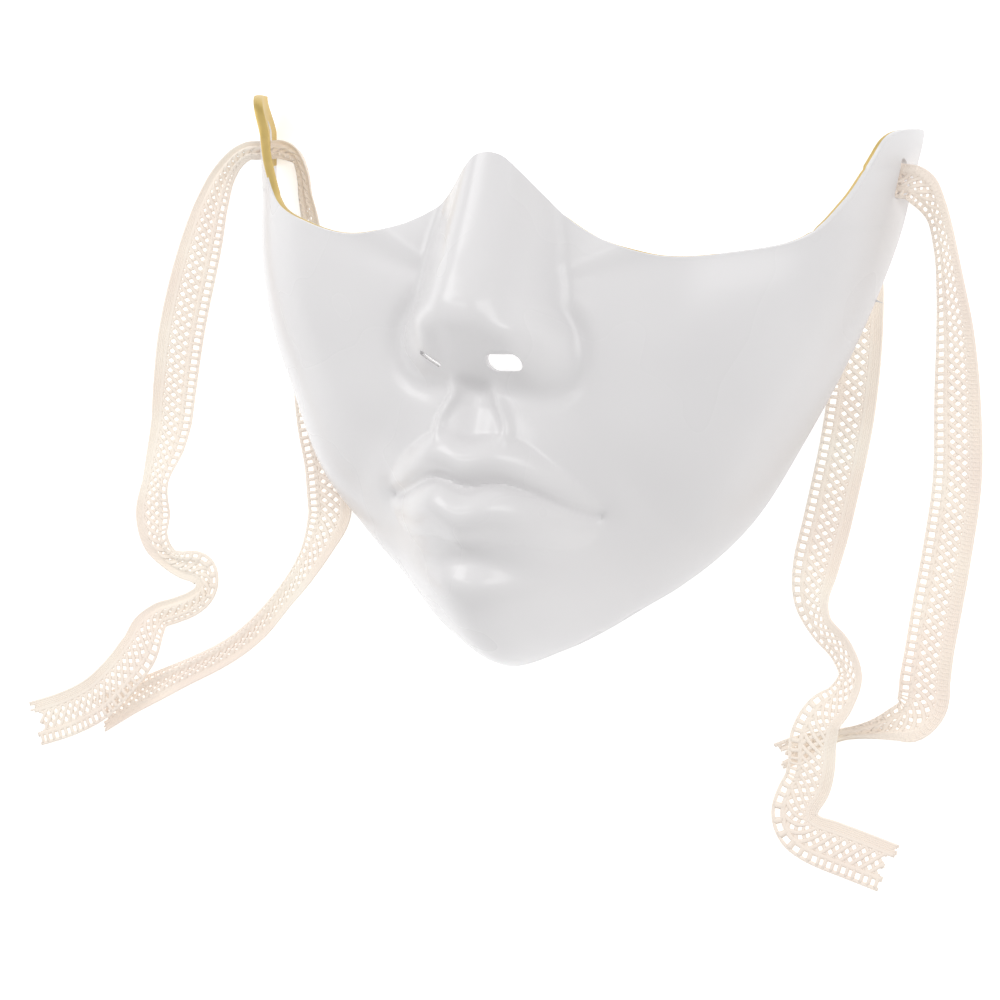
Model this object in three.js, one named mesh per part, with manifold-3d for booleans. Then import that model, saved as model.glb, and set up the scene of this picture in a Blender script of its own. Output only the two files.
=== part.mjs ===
import * as THREE from 'three';
import { mergeVertices } from 'three/addons/utils/BufferGeometryUtils.js';
import Module from 'manifold-3d';

// A moulded plastic half mask for the lower face, lying on its rim, with a lace ribbon through a slot in each
// temple tab. Sizes are in millimetres. X runs across the face, Y up the face and Z up from the table.

// Shell
const WALL = 1.5;
const TAB_EXTRA = 0.7; // how much thicker the tabs are
const FRONT = 43.5; // the cheeks' front above the table
const DOME_CENTRE = 16; // Y of the middle of the cheeks
const NOSE_BASE = -4; // Y where the nose meets the lip
const COLUMNS = 48;
const ROWS = 37;
const COLUMN_CROWD = 0.08; // how much the columns crowd at the nose and at the tabs
const ROW_CROWD = 0.035; // how much the rows crowd at the nose and mouth
const FLAT = 0.15; // a rim lower than this is flattened onto the table

// Rim: across, up the face from the nose's base, above the table; chin first, tab corner last
const RIM = [
  [0, -62.7, 8],
  [12.9, -57.6, 6.5],
  [29.3, -45.9, 1.2],
  [36.6, -40.4, 0],
  [44.8, -33.2, 0],
  [52.6, -25, 2.2],
  [63.9, -4.7, 3.6],
  [71.5, 12, 5],
  [77.3, 30, 3.5],
  [80.8, 48, 0],
  [82.3, 60, 0],
  [84, 68.8, 3.6],
];
const BACK_EDGE = 8; // the rim point where the jaw ends and the tab's back edge begins
const FOREHEAD = 108; // radius of the uncut mould above the nose

// Upper edge: across, up the face from the nose's base; bridge of the nose first, tab corner last
const UPPER_EDGE = [
  [0, 51.4],
  [3.2, 50.7],
  [6.2, 48.4],
  [10.5, 44.2],
  [15.5, 39.6],
  [25.3, 34.8],
  [37.5, 32.6],
  [52, 35.1],
  [65.6, 40.7],
  [72.5, 49.8],
  [77, 59.8],
  [80.4, 66.4],
  [84, 68.8],
];

// Face, up or down from the nose's base
const MOUTH_HALF = 26.5;
const UPPER_LIP = 10.5;
const LOWER_LIP = 13;
const NOSTRILS = [
  { across: 8.2, up: 5.8, length: 8, width: 3.5, turn: 0.1 },
  { across: -10, up: 5.2, length: 5.4, width: 1, turn: -0.54 },
];
const SLOT = { up: 57.2, height: 6.2, length: 9, width: 2.4 };

// Ribbons
const RIBBON_WIDTH = 11.5;
const RIBBON_THICK = 0.8;
const BUNCHED_THICK = 1.2;
const RIBBON_LIFT = 0.1; // least gap to the table
const RIBBON_STEPS = 88;
const SLOT_STOPS = [3.4, 1.2, -0.75, -2.7, -4.5]; // how far out of the tab the ribbon's points in the slot lie
const LEFT_BUNCH = { shift: -2.1, width: 4 }; // place along the slot and width of the bunched ribbon
const RIGHT_BUNCH = { shift: -0.3, width: 7.6 };

// Ribbon routes: across, up the face from the nose's base, height of the lower side above the table,
// tilt of the width in degrees, width
const RIGHT_OUTER = [
  [65.5, -75.6, 0.1, 0, 6],
  [70, -73, 0.1, 0, 5.4],
  [75, -70.4, 0.1, 0, 3.6],
  [79.7, -68.5, 0.1, 0, 2.2],
  [83.3, -67.4, 0.1, 5, 2.6],
  [87.8, -66, 0.1, 10, 4.4],
  [91.5, -64.6, 0.1, 14, 7.2],
  [95.2, -62.9, 0.1, 12, 10.6],
  [97.2, -59.4, 0.1, 2, RIBBON_WIDTH],
  [97.3, -53.6, 0.1, 2, RIBBON_WIDTH],
  [97.7, -47, 0.1, 8, RIBBON_WIDTH],
  [98.2, -38.4, 0.1, 5, RIBBON_WIDTH],
  [99.2, -24.8, 0.1, 7, RIBBON_WIDTH],
  [99.7, -8.6, 0.1, 9, RIBBON_WIDTH],
  [97.9, 9.2, 0.1, 16, RIBBON_WIDTH],
  [96.1, 23.4, 0.1, 32, RIBBON_WIDTH],
  [94.5, 32, 0.1, 44, RIBBON_WIDTH],
  [91.5, 44, 0.1, 52, 10],
  [88.6, 51.4, 1.2, 46, 8.4],
];
const RIGHT_INNER = [
  [73.4, 52.4, 1.6, -6, 8],
  [71.6, 46.5, 0.5, 0, 9],
  [71.6, 39.5, 0.1, 0, 10.5],
  [72.4, 31, 0.1, 0, RIBBON_WIDTH],
  [73.3, 20, 0.1, 0, RIBBON_WIDTH],
  [73.5, 10.8, 0.1, 0, RIBBON_WIDTH],
  [73.3, 2.5, 0.1, 0, RIBBON_WIDTH],
  [72.7, -5.8, 0.1, -2, RIBBON_WIDTH],
  [71.8, -14, 0.1, -3, RIBBON_WIDTH],
  [70.8, -22.4, 0.1, -4, RIBBON_WIDTH],
  [69.7, -30.8, 0.1, -10, RIBBON_WIDTH],
  [70, -38.6, 0.1, -30, RIBBON_WIDTH],
  [73, -44.4, 0.1, -48, RIBBON_WIDTH],
  [78.4, -49.4, 0.1, -50, RIBBON_WIDTH],
  [81.2, -54.8, 0.1, -50, RIBBON_WIDTH],
  [79.4, -60.4, 0.4, -42, RIBBON_WIDTH],
  [75.6, -65.2, 1.8, -22, RIBBON_WIDTH],
  [74, -70.6, 2.4, -8, RIBBON_WIDTH],
  [74, -76.6, 1.4, -8, RIBBON_WIDTH],
  [73.2, -80.6, 0.6, -6, RIBBON_WIDTH],
  [71.4, -84.4, 0.2, -4, 11],
  [70.8, -87.8, 0.1, -4, 11],
  [72.2, -90.8, 0.1, -4, 11],
  [75.2, -92.6, 0.1, -4, 11],
  [79.4, -93.6, 0.1, -2, RIBBON_WIDTH],
  [85, -94.8, 0.1, 0, RIBBON_WIDTH],
  [94.4, -96.9, 0.1, 0, RIBBON_WIDTH],
];
const LEFT_OUTER = [
  [-130.2, -94, 0.1, 0, RIBBON_WIDTH],
  [-120.5, -90, 0.8, 0, RIBBON_WIDTH],
  [-111.2, -84.6, 2.6, 2, RIBBON_WIDTH],
  [-105, -78, 3, 6, RIBBON_WIDTH],
  [-101, -71.4, 2.4, 6, RIBBON_WIDTH],
  [-99.6, -65.8, 0.9, 10, 10],
  [-97.4, -62.4, 0.1, 10, 6.6],
  [-93.2, -60.5, 0.1, 10, 6],
  [-88.5, -58.2, 0.1, 14, 6],
  [-85.6, -55.6, 0.1, 18, 6],
  [-84.9, -52.7, 0.1, 18, 7],
  [-86.2, -50.2, 0.1, 14, 8.2],
  [-88.7, -49.2, 0.1, 14, 8],
  [-92.2, -49.1, 0.1, 20, 6.8],
  [-96, -48, 0.1, 24, 5.6],
  [-100.4, -43.6, 0.1, 20, 9],
  [-102, -37.6, 0.1, 14, RIBBON_WIDTH],
  [-101.6, -28.6, 0.1, 28, RIBBON_WIDTH],
  [-100.7, -19.4, 0.1, 8, RIBBON_WIDTH],
  [-100.2, -5, 0.1, -8, RIBBON_WIDTH],
  [-99.4, 9.5, 0.1, -18, RIBBON_WIDTH],
  [-97, 31.4, 0.1, -12, 10.6],
  [-95.8, 40.6, 0.2, -4, 8.8],
  [-93.1, 48.4, 0.9, 0, 6.4],
];
const LEFT_INNER = [
  [-72.2, 54.4, 2, -30, 4.2],
  [-70.6, 50.4, 0.8, -22, 4.4],
  [-69.4, 45, 0.3, -20, 5],
  [-67.2, 38.6, 0.1, -24, 7],
  [-65, 26, 0.1, -20, RIBBON_WIDTH],
  [-63.4, 12, 0.1, 0, RIBBON_WIDTH],
  [-61.8, 0, 0.1, 0, RIBBON_WIDTH],
  [-59.6, -10, 0.1, 0, RIBBON_WIDTH],
  [-56.6, -19, 0.1, 0, RIBBON_WIDTH],
  [-54.4, -27, 0.1, 4, RIBBON_WIDTH],
  [-53.8, -33.4, 0.1, -3, RIBBON_WIDTH],
  [-54.8, -39.6, 0.1, -24, RIBBON_WIDTH],
  [-57.7, -46.2, 0.1, -30, 10],
  [-62.6, -53.2, 0.1, -22, 7.4],
  [-68.9, -61.6, 0.1, -16, 7],
  [-74.4, -66.9, 0.1, -14, 6.6],
  [-80.1, -71, 0.1, -14, 6.6],
  [-88.4, -75.8, 0.1, -12, 6.8],
  [-94.5, -79.3, 0.1, -10, 7.4],
  [-103.3, -84.2, 0.1, -4, 8],
  [-111.5, -89.4, 0.1, 0, 8.8],
];

// Shaping functions
const UP = new THREE.Vector3(0, 0, 1);
const gauss = (t) => Math.exp(-t * t);
const bell = (t) => 0.5 * (1 + Math.cos(Math.PI * Math.min(Math.abs(t), 1)));
function smooth(from, to, t) {
  const s = Math.min(Math.max((t - from) / (to - from), 0), 1);
  return s * s * (3 - 2 * s);
}

// A smooth curve through values at rising knots: cubic pieces with the mean of the two chord slopes at each knot
function curve(knots, values, firstSlope) {
  const last = knots.length - 1;
  const chord = (i) => (values[i + 1] - values[i]) / (knots[i + 1] - knots[i]);
  const slope = values.map((_, i) => {
    if (i === 0) return firstSlope ?? chord(0);
    return i === last ? chord(last - 1) : 0.5 * (chord(i - 1) + chord(i));
  });
  return (t) => {
    let i = 0;
    while (i < last - 1 && t >= knots[i + 1]) i += 1;
    const span = knots[i + 1] - knots[i];
    const s = Math.min(Math.max((t - knots[i]) / span, 0), 1);
    const r = 1 - s;
    return (1 + 2 * s) * r * r * values[i] + s * r * r * span * slope[i]
      + s * s * (3 - 2 * s) * values[i + 1] - s * s * r * span * slope[i + 1];
  };
}

// Rim seen from above, as radius and height over the angle from the chin round the middle of the cheeks
const rimAngles = RIM.map(([x, y]) => Math.atan2(x, DOME_CENTRE - NOSE_BASE - y));
const rimRadii = RIM.map(([x, y]) => Math.hypot(x, DOME_CENTRE - NOSE_BASE - y));
const rimRadius = curve([...rimAngles, Math.PI], [...rimRadii, FOREHEAD], 0);
const rimHeight = curve([...rimAngles, Math.PI], [...RIM.map((p) => p[2]), RIM[RIM.length - 1][2]], 0);
const restHeight = (angle) => {
  const height = rimHeight(angle);
  return height < FLAT ? 0 : height;
};

// The mould's plain dome: full height in the middle, falling ever more steeply to the rim, blunter at the chin
// and the tabs
function dome(x, y) {
  const down = DOME_CENTRE - y;
  const angle = Math.atan2(Math.abs(x), down);
  const reach = Math.min(Math.hypot(x, down) / rimRadius(angle), 1);
  const bluntness = 2.58 + 2.9 * gauss(angle / 0.28) + 0.7 * gauss((angle - 2.03) / 0.1);
  const rise = restHeight(angle);
  return { reach, height: rise + (FRONT - rise) * (1 - reach ** bluntness) ** (2 / 3) };
}

// Nose: a ridge of bell section that rises to the tip and drops to the lip, with rounded wings at the nostrils
const noseHeight = curve([-4, 0, 3, 8, 13, 17, 22, 30, 40, 52, 70], [0, 1, 5, 11.5, 17, 18.2, 17.2, 14.5, 12.2, 11, 11]);
const noseHalf = curve([-4, 4, 12, 22, 33, 42, 52, 70], [13, 19, 21, 19.5, 17.5, 15.5, 14, 13]);
function nose(x, up) {
  const ridge = noseHeight(up) * bell((x / noseHalf(up)) ** 1.3);
  const wing = 3.8 * gauss(Math.hypot((x - 13.5) / 6.2, (up - 9.5) / 6.6) ** 1.6);
  const ring = (Math.hypot(x - 12, (up - 9) / 1.15) - 10.2) / 2.6;
  const side = smooth(6, 14, x) * smooth(-6, 2, up) * (1 - smooth(14, 24, up));
  return ridge + wing - 1.1 * gauss(ring) * side;
}

// Groove from the nose to the lip, between two ridges that spread downwards
function philtrum(x, up) {
  const spread = 8.2 - 3.4 * smooth(-9, 0, up);
  const length = smooth(-13.5, -9.5, up) * (1 - smooth(-1, 3, up));
  return length * (1.5 * gauss((x - spread) / 1.5) - 1.3 * gauss(x / 3.2));
}

// Lips: two rounded rolls that meet in a bow-shaped line, tucked in at the corners
const lipLine = (x) => -20.6 - 1.6 * gauss(x / 4.2) - 4.6 * smooth(7, 25.5, x);
function lips(x, up, fine) {
  const fullness = Math.sqrt(Math.max(1 - (x / MOUTH_HALF) ** 2, 0));
  const above = up - lipLine(x);
  const roll = (height, t) => height * fullness ** 2 * Math.sin(Math.PI * Math.min(Math.max(t, 0), 1));
  const upperT = above / (UPPER_LIP * fullness + 0.3);
  const upper = above >= 0 ? roll(3.4, upperT) * (1 - 0.25 * Math.min(upperT, 1)) : 0;
  const lower = above < 0 ? roll(4.2, -above / (LOWER_LIP * fullness + 0.3)) : 0;
  const line = fine ? gauss(above / 1.6) * smooth(0, 0.3, fullness) : 0;
  const corner = 1.5 * gauss(Math.hypot((x - 25.5) / 4, (up + 25.2) / 3.6));
  return upper + lower - line - corner;
}

// Chin: a knob under a shallow fold
function chin(x, up) {
  const fold = 3 * gauss((up + 39) / 4.2) * gauss(x / 17);
  const knob = 2.6 * gauss(Math.hypot(x / 14, (up + 47) / 7.5) ** 1.6);
  return knob - fold;
}

// Height of the mask's face over the table. The inside of the shell has no fine lines.
function height(x, y, fine) {
  const side = Math.abs(x);
  const up = y - NOSE_BASE;
  const base = dome(side, y);
  const muzzle = 3.2 * gauss(Math.hypot(side / 30, (up + 20) / 20));
  const hollow = 4 * gauss(Math.hypot((side - 34) / 18, (up + 24) / 17));
  const relief = nose(side, up) + lips(side, up, fine) + chin(side, up) + muzzle - hollow
    + (fine ? philtrum(side, up) : 0);
  return base.height + relief * (1 - base.reach ** 10);
}

// Plan of the shell: u runs from the left tab (-1) to the right one (1), v from the rim (0) to the upper edge (1)
const rimPoint = (angle) => [
  rimRadius(angle) * Math.sin(angle),
  DOME_CENTRE - rimRadius(angle) * Math.cos(angle),
];
const edgeKnots = UPPER_EDGE.map((_, i) => UPPER_EDGE.slice(0, i).reduce(
  (sum, p, k) => sum + Math.hypot(UPPER_EDGE[k + 1][0] - p[0], UPPER_EDGE[k + 1][1] - p[1]),
  0,
));
const edgeLength = edgeKnots[edgeKnots.length - 1];
const upperX = curve(edgeKnots, UPPER_EDGE.map((p) => p[0]));
const upperY = curve(edgeKnots, UPPER_EDGE.map((p) => p[1]));
const jawAngle = rimAngles[BACK_EDGE];
const tabAngle = rimAngles[RIM.length - 1];
function plan(u, v) {
  const side = Math.abs(u);
  const low = rimPoint(side * jawAngle);
  const high = [upperX(side * edgeLength), upperY(side * edgeLength) + NOSE_BASE];
  const back = rimPoint(jawAngle + (tabAngle - jawAngle) * v);
  const jawEnd = rimPoint(jawAngle);
  const tabEnd = rimPoint(tabAngle);
  const [x, y] = [0, 1].map((k) => (1 - v) * low[k] + v * high[k]
    + side * (back[k] - (1 - v) * jawEnd[k] - v * tabEnd[k]));
  return [Math.sign(u) * x, y];
}

// Grid of surface points, the rows from the rim upwards
function surface(fine) {
  const grid = [];
  for (let row = 0; row <= ROWS; row += 1) {
    const t = row / ROWS;
    const v = t ** 1.12 + ROW_CROWD * Math.sin(2 * Math.PI * t);
    grid.push([]);
    for (let column = 0; column <= COLUMNS; column += 1) {
      const s = (2 * column) / COLUMNS - 1;
      const [x, y] = plan(s - COLUMN_CROWD * Math.sin(2 * Math.PI * s), v);
      grid[row].push(new THREE.Vector3(x, y, height(x, y, fine)));
    }
  }
  return grid;
}

function inwardOffset(grid) {
  return grid.map((line, row) => line.map((point, column) => {
    const right = grid[row][Math.min(column + 1, COLUMNS)];
    const left = grid[row][Math.max(column - 1, 0)];
    const upper = grid[Math.min(row + 1, ROWS)][column];
    const lower = grid[Math.max(row - 1, 0)][column];
    const normal = right.clone().sub(left).cross(upper.clone().sub(lower)).normalize();
    const onRim = row === 0 || column === 0 || column === COLUMNS;
    if (onRim) normal.setZ(0).normalize();
    const wall = WALL + TAB_EXTRA * smooth(60, 72, Math.abs(point.x));
    return point.clone().addScaledVector(normal, -wall);
  }));
}

// Closed solid between an outer and an inner grid
function closedShell(outer, inner) {
  const points = [...outer.flat(), ...inner.flat()];
  const stride = COLUMNS + 1;
  const innerStart = outer.length * stride;
  const faces = [];
  const quad = (a, b, c, d) => faces.push(a, b, c, a, c, d);
  for (let row = 0; row < ROWS; row += 1) {
    for (let column = 0; column < COLUMNS; column += 1) {
      const a = row * stride + column;
      const b = a + stride;
      quad(a, a + 1, b + 1, b);
      quad(innerStart + a, innerStart + b, innerStart + b + 1, innerStart + a + 1);
    }
  }
  const edge = (a, b) => quad(a, innerStart + a, innerStart + b, b);
  for (let column = 0; column < COLUMNS; column += 1) {
    edge(column, column + 1);
    edge(ROWS * stride + column + 1, ROWS * stride + column);
  }
  for (let row = 0; row < ROWS; row += 1) {
    edge((row + 1) * stride, row * stride);
    edge(row * stride + COLUMNS, (row + 1) * stride + COLUMNS);
  }
  return solidGeometry(points, faces);
}

function solidGeometry(points, faces) {
  const geometry = new THREE.BufferGeometry();
  geometry.setAttribute('position', new THREE.Float32BufferAttribute(points.flatMap((p) => [p.x, p.y, p.z]), 3));
  geometry.setIndex(faces);
  return mergeVertices(geometry, 1e-4);
}

// Joining and cutting of closed solids
const wasm = await Module();
wasm.setup();
function toSolid(geometry) {
  const bare = geometry.clone();
  bare.deleteAttribute('normal');
  bare.deleteAttribute('uv');
  const merged = mergeVertices(bare, 1e-4);
  return new wasm.Manifold(new wasm.Mesh({
    numProp: 3,
    vertProperties: new Float32Array(merged.attributes.position.array),
    triVerts: new Uint32Array(merged.index.array),
  }));
}
function toGeometry(solid) {
  const mesh = solid.getMesh();
  const geometry = new THREE.BufferGeometry();
  geometry.setAttribute('position', new THREE.BufferAttribute(mesh.vertProperties, 3));
  geometry.setIndex(new THREE.BufferAttribute(mesh.triVerts, 1));
  geometry.computeVertexNormals();
  return geometry;
}

// A prism with half-round ends, its length along X and its axis along Z
function roundEndedPrism(length, width, depth, turns) {
  const outline = new THREE.Shape();
  const straight = (length - width) / 2;
  outline.absarc(straight, 0, width / 2, -Math.PI / 2, Math.PI / 2);
  outline.absarc(-straight, 0, width / 2, Math.PI / 2, 1.5 * Math.PI);
  const prism = new THREE.ExtrudeGeometry(outline, { depth, bevelEnabled: false, curveSegments: turns });
  return prism.translate(0, 0, -depth / 2);
}

// Where the tab's wall passes the slot's height, and the way the wall faces there
function slotPlace() {
  const y = SLOT.up + NOSE_BASE;
  let low = 70;
  let high = 82;
  for (let i = 0; i < 40; i += 1) {
    const middle = (low + high) / 2;
    if (height(middle, y, true) > SLOT.height) low = middle;
    else high = middle;
  }
  const step = 0.5;
  const slopeX = (height(low + step, y, true) - height(low - step, y, true)) / (2 * step);
  const slopeY = (height(low, y + step, true) - height(low, y - step, true)) / (2 * step);
  const normal = new THREE.Vector3(-slopeX, -slopeY, 1).normalize();
  const along = new THREE.Vector3(0, 1, 0).addScaledVector(normal, -normal.y).normalize();
  return { centre: new THREE.Vector3(low, y, SLOT.height), normal, along };
}
const slot = slotPlace();

function shellGeometry() {
  const shell = toSolid(closedShell(surface(true), inwardOffset(surface(false))));
  const nostrils = NOSTRILS.map(({ across, up, length, width, turn }) => toSolid(
    roundEndedPrism(length, width, 60, 8).rotateZ(turn).translate(across, up + NOSE_BASE, FRONT),
  ));
  const frame = new THREE.Matrix4()
    .makeBasis(slot.along, slot.normal.clone().cross(slot.along), slot.normal)
    .setPosition(slot.centre);
  const opening = toSolid(roundEndedPrism(SLOT.length, SLOT.width, 12, 6).applyMatrix4(frame));
  const holes = [...nostrils, opening, opening.mirror([1, 0, 0])];
  return toGeometry(holes.reduce((rest, hole) => rest.subtract(hole), shell));
}

// A ribbon along a route through its slot: a thin band whose width, tilt, thickness and the height of its
// lower side change on the way
function ribbonGeometry(outerTail, innerTail, side, bunch) {
  const tail = (rows) => rows.map(([x, up, lift, tilt, width]) => (
    { x, y: up + NOSE_BASE, lift, lean: THREE.MathUtils.degToRad(tilt), width, thick: RIBBON_THICK }
  ));
  const throughSlot = SLOT_STOPS.map((out) => {
    const place = slot.centre.clone().addScaledVector(slot.normal, out).addScaledVector(slot.along, bunch.shift);
    const lift = place.z - BUNCHED_THICK / 2;
    return { x: side * place.x, y: place.y, lift, lean: 0, width: bunch.width, thick: BUNCHED_THICK };
  });
  const stops = [...tail(outerTail), ...throughSlot, ...tail(innerTail)];
  const knots = [0];
  for (let i = 1; i < stops.length; i += 1) {
    const [from, to] = [stops[i - 1], stops[i]];
    knots.push(knots[i - 1] + Math.hypot(to.x - from.x, to.y - from.y, to.lift - from.lift));
  }
  const along = Object.fromEntries(Object.keys(stops[0]).map(
    (key) => [key, curve(knots, stops.map((stop) => stop[key]))],
  ));
  const centre = (t) => {
    const rise = (along.width(t) * Math.abs(Math.sin(along.lean(t))) + along.thick(t)) / 2;
    return new THREE.Vector3(along.x(t), along.y(t), Math.max(along.lift(t), RIBBON_LIFT) + rise);
  };
  const length = knots[knots.length - 1];
  const points = [];
  for (let step = 0; step <= RIBBON_STEPS; step += 1) {
    const t = (length * step) / RIBBON_STEPS;
    const ahead = centre(Math.min(t + 0.5, length)).sub(centre(Math.max(t - 0.5, 0))).normalize();
    const across = ahead.clone().cross(UP).normalize().multiplyScalar(Math.cos(along.lean(t)))
      .addScaledVector(UP, Math.sin(along.lean(t)));
    const facing = ahead.clone().cross(across).normalize();
    [[-0.5, -0.5], [0.5, -0.5], [0.5, 0.5], [-0.5, 0.5]].forEach(([a, b]) => points.push(
      centre(t).addScaledVector(across, a * along.width(t)).addScaledVector(facing, b * along.thick(t)),
    ));
  }
  const faces = [0, 2, 1, 0, 3, 2];
  for (let step = 0; step < RIBBON_STEPS; step += 1) {
    for (let k = 0; k < 4; k += 1) {
      const a = step * 4 + k;
      const b = step * 4 + ((k + 1) % 4);
      faces.push(a, b, b + 4, a, b + 4, a + 4);
    }
  }
  const end = RIBBON_STEPS * 4;
  faces.push(end, end + 1, end + 2, end, end + 2, end + 3);
  return solidGeometry(points, faces);
}

// Materials
const whiteGloss = new THREE.MeshStandardMaterial({ color: 0xe4e1e2, roughness: 0.22, metalness: 0 });
const creamLace = new THREE.MeshStandardMaterial({ color: 0xf6e6dc, roughness: 0.85, metalness: 0 });

function piece(name, geometry, material) {
  const mesh = new THREE.Mesh(geometry, material);
  mesh.name = name;
  return mesh;
}

const mask = new THREE.Group();
mask.add(piece('mask_shell', shellGeometry(), whiteGloss));
mask.add(piece('lace_ribbon_left', ribbonGeometry(LEFT_OUTER, LEFT_INNER, -1, LEFT_BUNCH), creamLace));
mask.add(piece('lace_ribbon_right', ribbonGeometry(RIGHT_OUTER, RIGHT_INNER, 1, RIGHT_BUNCH), creamLace));

export default mask;
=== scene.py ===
from math import cos, pi, radians, sin

import bpy
import numpy as np
from mathutils import Matrix, Vector


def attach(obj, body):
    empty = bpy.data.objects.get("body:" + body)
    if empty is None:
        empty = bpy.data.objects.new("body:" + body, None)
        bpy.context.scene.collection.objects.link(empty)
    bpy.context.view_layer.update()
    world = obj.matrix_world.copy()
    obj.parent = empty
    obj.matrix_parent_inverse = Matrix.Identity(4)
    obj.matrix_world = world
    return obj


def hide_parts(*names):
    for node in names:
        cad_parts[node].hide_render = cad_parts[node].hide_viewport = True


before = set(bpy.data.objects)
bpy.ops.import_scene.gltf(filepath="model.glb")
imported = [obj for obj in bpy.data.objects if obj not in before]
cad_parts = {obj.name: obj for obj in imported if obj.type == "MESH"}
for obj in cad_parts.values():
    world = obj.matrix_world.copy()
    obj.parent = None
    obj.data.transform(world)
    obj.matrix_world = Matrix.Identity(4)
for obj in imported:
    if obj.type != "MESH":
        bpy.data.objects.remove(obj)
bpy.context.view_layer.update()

# Camera
# The mask lies on its rim, and the camera looks down on it from high on its right side, slightly turned.
# Lengths in this script are millimetres from the mask's own origin; MM turns them into Blender's metres.
MM = 0.001
NOSE_BASE = -4.0  # Y where the nose meets the lip
PHOTO = 1000  # width and height of the picture
PHOTO_CENTRE = PHOTO / 2
SENSOR = 36.0
FOCAL_LENGTH = 97.2
CAMERA_DISTANCE = 600.0
CAMERA_SLOPE = radians(22)  # away from straight down
CAMERA_TURN = radians(6.3)  # of the picture about the line of sight
LIP_TOP = np.array([0, NOSE_BASE, 44.5])
LIP_TOP_PIXEL = (478, 388)


def place_camera():
    """The camera stands CAMERA_DISTANCE from the top of the lip, moved sideways so that this point falls on
    its pixel of the picture."""
    to_eye = np.array([sin(CAMERA_SLOPE), 0, cos(CAMERA_SLOPE)])
    level = np.array([cos(CAMERA_SLOPE), 0, -sin(CAMERA_SLOPE)])
    along_face = np.array([0, 1, 0])
    right = cos(CAMERA_TURN) * level + sin(CAMERA_TURN) * along_face
    up = cos(CAMERA_TURN) * along_face - sin(CAMERA_TURN) * level
    per_pixel = CAMERA_DISTANCE * SENSOR / (FOCAL_LENGTH * PHOTO)
    eye = (LIP_TOP + CAMERA_DISTANCE * to_eye - (LIP_TOP_PIXEL[0] - PHOTO_CENTRE) * per_pixel * right
           - (PHOTO_CENTRE - LIP_TOP_PIXEL[1]) * per_pixel * up)
    data = bpy.data.cameras.new("photo_camera")
    data.sensor_width = SENSOR
    data.lens = FOCAL_LENGTH
    data.clip_start = 0.01
    camera = bpy.data.objects.new("photo_camera", data)
    bpy.context.collection.objects.link(camera)
    axes = Matrix(np.stack([right, up, to_eye], axis=1).tolist()).to_4x4()
    camera.matrix_world = Matrix.Translation(Vector(eye * MM)) @ axes
    bpy.context.scene.camera = camera


place_camera()


# Mask shell: the face
# One thin shell of moulded glossy white plastic, trimmed to a smooth outline, with gold lacquer along its
# upper edge. It is a height over the table: a plain dome, with the features of the face added on top.
WALL = 1.5
TAB_EXTRA = 0.7  # how much thicker the tabs are
TAB_RUN = (60, 72)  # how far out the wall starts to thicken, and is at its full width
FRONT = 43.5  # the cheeks' front above the table
DOME_CENTRE = 16.0  # Y of the middle of the cheeks
DOME_POWER = 2.58  # of the fall from the middle to the rim
DOME_BLUNTER = ((0.0, 2.9, 0.28), (2.03, 0.7, 0.1))  # chin and tabs: angle, added power, spread
DOME_ROUND = 2 / 3  # power that makes the dome stand steeply on its rim
FEATURE_FADE = 10  # power by which the features fade out near the rim
FLAT = 0.15  # a rim lower than this is flattened onto the table
FOREHEAD = 108.0  # radius of the uncut mould above the nose
BACK_EDGE = 8  # the rim point where the jaw ends and the tab's back edge begins

# The rim from the chin to the top of the tab: across, up the face from the nose's base, height
RIM = np.array([
    (0, -62.7, 8),
    (12.9, -57.6, 6.5),
    (29.3, -45.9, 1.2),
    (36.6, -40.4, 0),
    (44.8, -33.2, 0),
    (52.6, -25, 2.2),
    (63.9, -4.7, 3.6),
    (71.5, 12, 5),
    (77.3, 30, 3.5),
    (80.8, 48, 0),
    (82.3, 60, 0),
    (84, 68.8, 3.6),
])

# The trimmed upper edge from the bridge of the nose to the top of the tab: across and up the face
UPPER_EDGE = np.array([
    (0, 51.4),
    (3.2, 50.7),
    (6.2, 48.4),
    (10.5, 44.2),
    (15.5, 39.6),
    (25.3, 34.8),
    (37.5, 32.6),
    (52, 35.1),
    (65.6, 40.7),
    (72.5, 49.8),
    (77, 59.8),
    (80.4, 66.4),
    (84, 68.8),
])


def curve(knots, values, first_slope=None):
    """A smooth function through values at rising knots: cubic pieces whose slope at each knot is the mean of
    the two chords that meet there."""
    knots = np.asarray(knots, float)
    values = np.asarray(values, float)
    chords = np.diff(values) / np.diff(knots)
    slopes = np.concatenate([chords[:1], 0.5 * (chords[:-1] + chords[1:]), chords[-1:]])
    if first_slope is not None:
        slopes[0] = first_slope

    def at(t):
        piece = np.clip(np.searchsorted(knots, t, side="right") - 1, 0, len(knots) - 2)
        span = knots[piece + 1] - knots[piece]
        s = np.clip((t - knots[piece]) / span, 0, 1)
        r = 1 - s
        return ((1 + 2 * s) * r * r * values[piece] + s * r * r * span * slopes[piece]
                + s * s * (3 - 2 * s) * values[piece + 1] - s * s * r * span * slopes[piece + 1])

    return at


def smooth(start, end, t):
    """A soft step from 0 at start to 1 at end."""
    s = np.clip((t - start) / (end - start), 0, 1)
    return s * s * (3 - 2 * s)


def gauss(t):
    """A bump of height 1 and width 1, exp(-t squared)."""
    return np.exp(-t * t)


rim_down = DOME_CENTRE - NOSE_BASE - RIM[:, 1]
rim_angles = np.arctan2(RIM[:, 0], rim_down)
rim_knots = np.append(rim_angles, pi)
rim_radius = curve(rim_knots, np.append(np.hypot(RIM[:, 0], rim_down), FOREHEAD), 0.0)
rim_height = curve(rim_knots, np.append(RIM[:, 2], RIM[-1, 2]), 0.0)


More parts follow.
